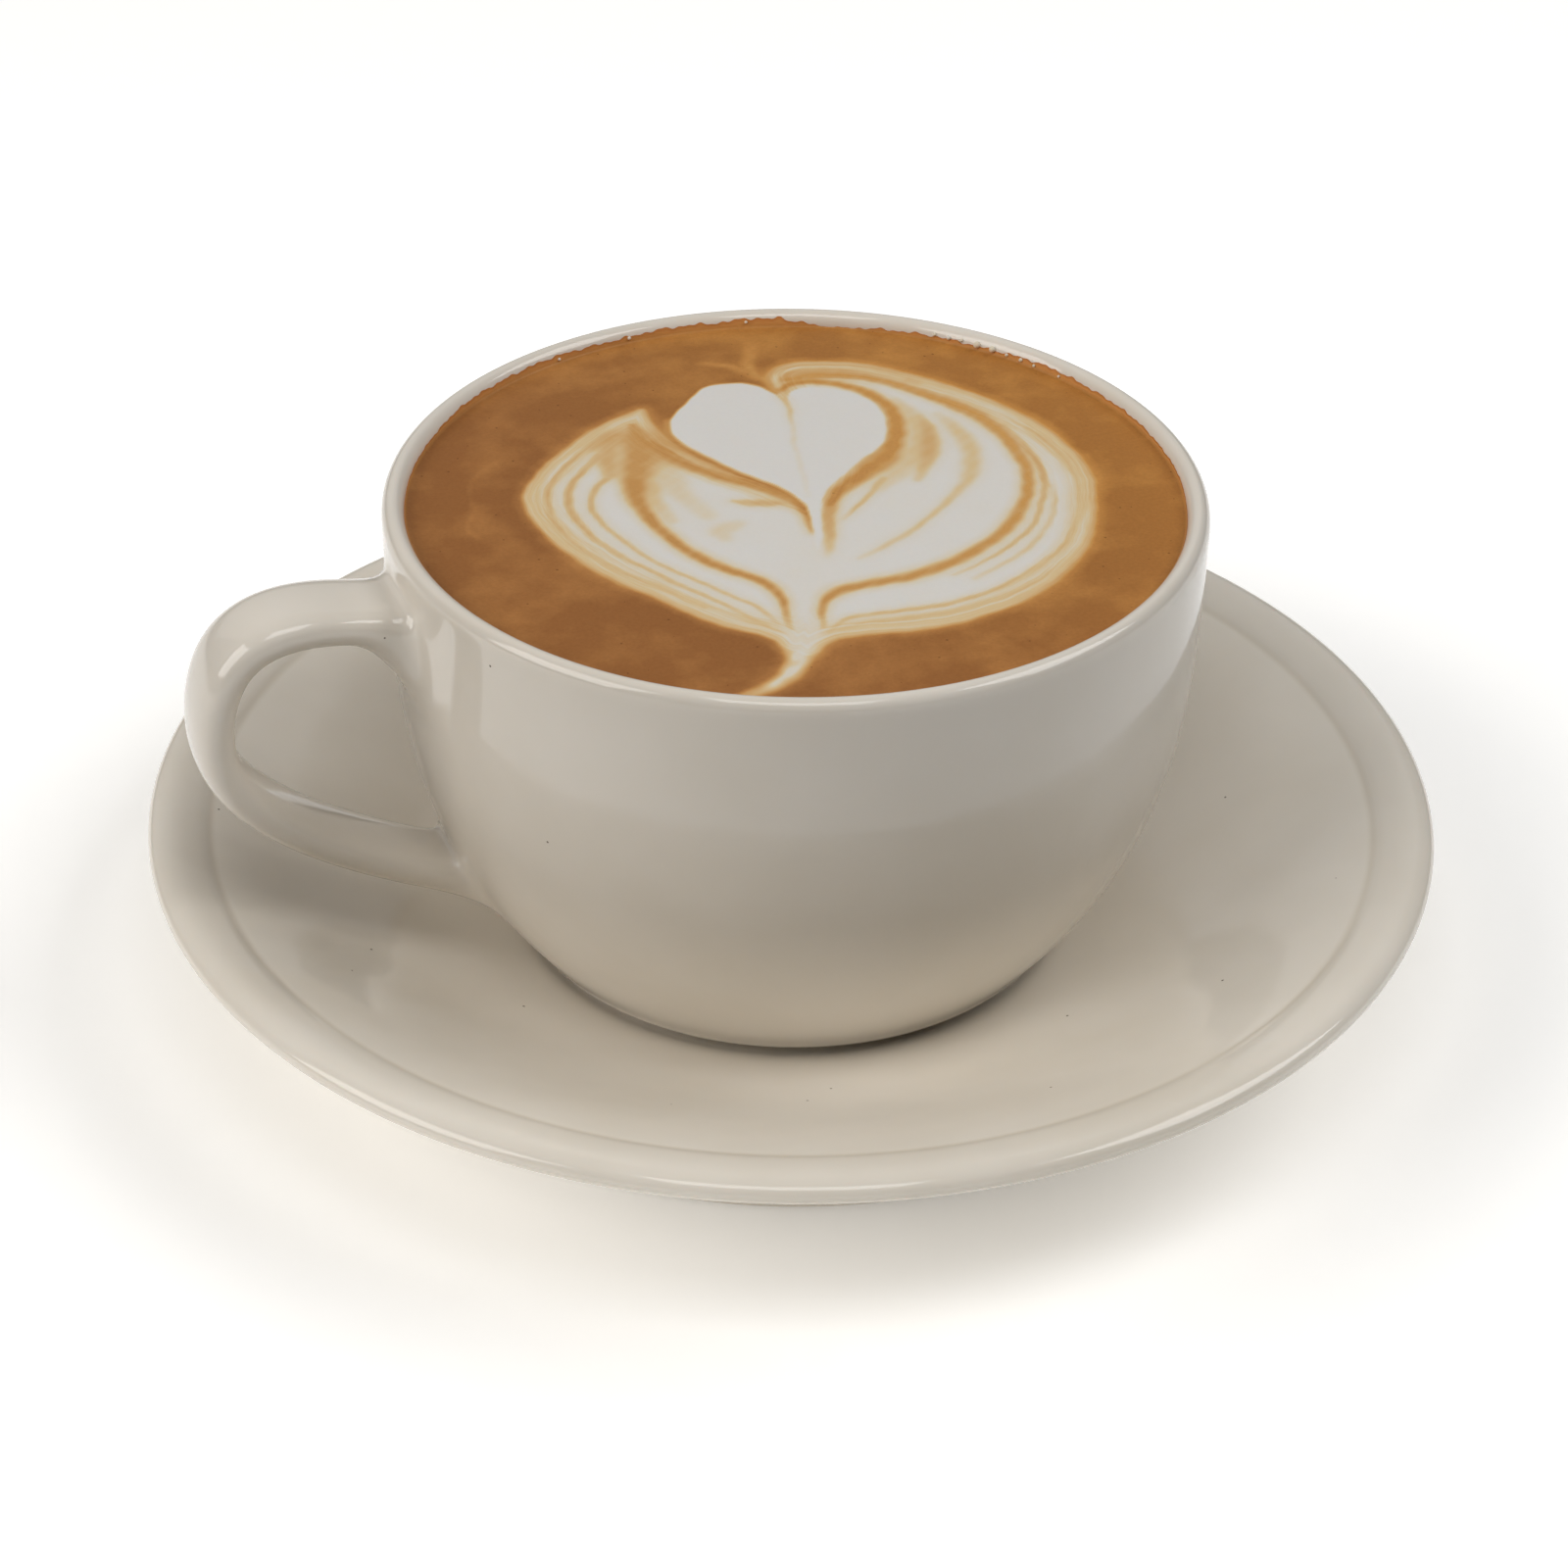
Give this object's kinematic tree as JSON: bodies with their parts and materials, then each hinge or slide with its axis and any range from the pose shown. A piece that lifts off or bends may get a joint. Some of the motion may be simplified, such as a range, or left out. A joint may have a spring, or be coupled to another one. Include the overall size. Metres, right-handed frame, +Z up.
{
  "type": "latte in a ceramic cup on a saucer",
  "caption": "Latte with a heart and swan-wing pattern in the foam, in a thick white ceramic cup with a loop handle, standing on its deep round saucer.",
  "frame": {"origin": "centre of the saucer's foot ring, on the plane it stands on; the cup's and saucer's common axis passes through it", "axes": "+Z up along the axis of the cup and saucer; the handle points towards -X"},
  "size_m": [0.16, 0.16, 0.0645],
  "materials": {
    "saucer_glaze": "glossy warm white glaze",
    "cup_glaze": "glossy warm white glaze, unprinted",
    "drink": null
  },
  "bodies": {
    "root": {"saucer": "saucer_glaze", "cup": "cup_glaze", "drink": "drink"}
  },
  "joints": []
}
